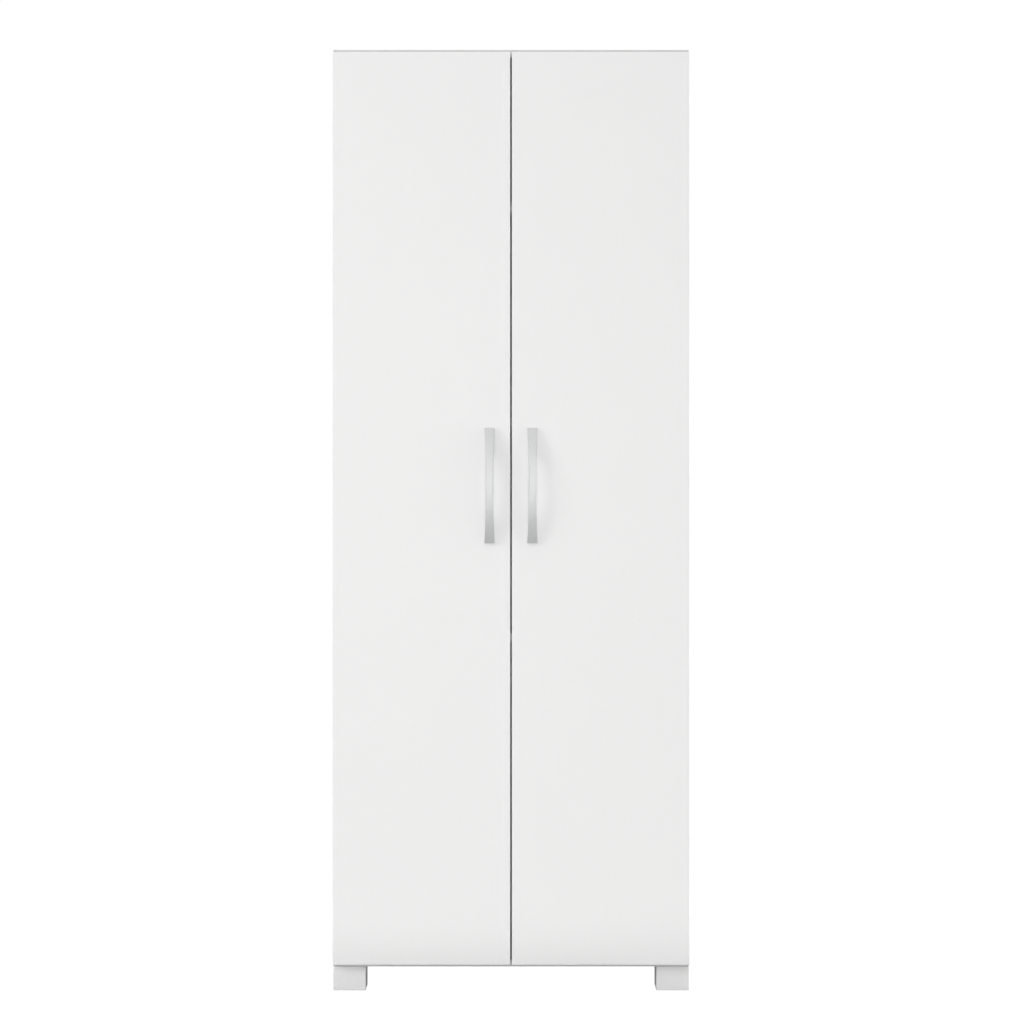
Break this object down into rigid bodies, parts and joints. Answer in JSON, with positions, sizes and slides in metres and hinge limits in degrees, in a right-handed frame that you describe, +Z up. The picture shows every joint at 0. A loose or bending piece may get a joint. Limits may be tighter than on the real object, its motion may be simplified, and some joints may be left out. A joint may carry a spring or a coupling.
{
  "type": "broom cupboard",
  "caption": "Tall two-door broom cupboard in white board with bowed satin handles, concealed hinges, block feet, a tall broom bay and a shelved bay.",
  "frame": {"origin": "on the floor, under the centre of the bounding box, handles included", "axes": "+Z up, -Y towards someone who opens the doors, +X to that person's right"},
  "size_m": [0.7, 0.4304, 1.852],
  "materials": {
    "white_board": "smooth white foil, satin",
    "white_hardboard": "painted hardboard, matt",
    "white_plastic": "matt",
    "satin_silver": "satin silver",
    "nickel_steel": "nickel plate"
  },
  "bodies": {
    "carcass": {"bottom_panel": "white_board", "top_panel": "white_board", "left_side": "white_board", "right_side": "white_board", "divider": "white_board", "top_shelf": "white_board", "middle_shelf": "white_board", "adjustable_shelf": "white_board", "left_front_shelf_pin": "nickel_steel", "left_rear_shelf_pin": "nickel_steel", "right_front_shelf_pin": "nickel_steel", "right_rear_shelf_pin": "nickel_steel", "back_panel_left": "white_hardboard", "back_panel_right": "white_hardboard", "back_joint_strip": "white_plastic", "front_left_foot": "white_board", "front_right_foot": "white_board", "rear_left_foot": "white_board", "rear_right_foot": "white_board", "left_lowest_hinge_arm": "nickel_steel", "left_lowest_hinge_plate": "nickel_steel", "left_lower_hinge_arm": "nickel_steel", "left_lower_hinge_plate": "nickel_steel", "left_upper_hinge_arm": "nickel_steel", "left_upper_hinge_plate": "nickel_steel", "left_highest_hinge_arm": "nickel_steel", "left_highest_hinge_plate": "nickel_steel", "right_lowest_hinge_arm": "nickel_steel", "right_lowest_hinge_plate": "nickel_steel", "right_lower_hinge_arm": "nickel_steel", "right_lower_hinge_plate": "nickel_steel", "right_upper_hinge_arm": "nickel_steel", "right_upper_hinge_plate": "nickel_steel", "right_highest_hinge_arm": "nickel_steel", "right_highest_hinge_plate": "nickel_steel"},
    "left_door_leaf": {"left_door": "white_board", "left_handle": "satin_silver", "left_handle_lower_screw": "nickel_steel", "left_handle_upper_screw": "nickel_steel", "left_lowest_hinge_cup": "nickel_steel", "left_lower_hinge_cup": "nickel_steel", "left_upper_hinge_cup": "nickel_steel", "left_highest_hinge_cup": "nickel_steel"},
    "right_door_leaf": {"right_door": "white_board", "right_handle": "satin_silver", "right_handle_lower_screw": "nickel_steel", "right_handle_upper_screw": "nickel_steel", "right_lowest_hinge_cup": "nickel_steel", "right_lower_hinge_cup": "nickel_steel", "right_upper_hinge_cup": "nickel_steel", "right_highest_hinge_cup": "nickel_steel"},
    "left_hinge_links": {"left_lowest_hinge_link": "nickel_steel", "left_lower_hinge_link": "nickel_steel", "left_upper_hinge_link": "nickel_steel", "left_highest_hinge_link": "nickel_steel"},
    "right_hinge_links": {"right_lowest_hinge_link": "nickel_steel", "right_lower_hinge_link": "nickel_steel", "right_upper_hinge_link": "nickel_steel", "right_highest_hinge_link": "nickel_steel"}
  },
  "joints": [
    {"name": "left_door_swing", "type": "hinge", "parent": "carcass", "child": "left_door_leaf", "pos_m": [-0.3442, -0.1782, 0.9491], "axis": [0, 0, -1], "range_deg": [0, 105]},
    {"name": "right_door_swing", "type": "hinge", "parent": "carcass", "child": "right_door_leaf", "pos_m": [0.3442, -0.1782, 0.9491], "axis": [0, 0, 1], "range_deg": [0, 105]},
    {"name": "left_link_swing", "type": "hinge", "parent": "carcass", "child": "left_hinge_links", "pos_m": [-0.3232, -0.1772, 0.9491], "axis": [0, 0, -1], "range_deg": [-32, 0]},
    {"name": "right_link_swing", "type": "hinge", "parent": "carcass", "child": "right_hinge_links", "pos_m": [0.3232, -0.1772, 0.9491], "axis": [0, 0, 1], "range_deg": [-32, 0]}
  ],
  "couplings": [
    {"joint": "left_link_swing", "follows": "left_door_swing", "ratio": -0.304},
    {"joint": "right_link_swing", "follows": "right_door_swing", "ratio": -0.304}
  ]
}
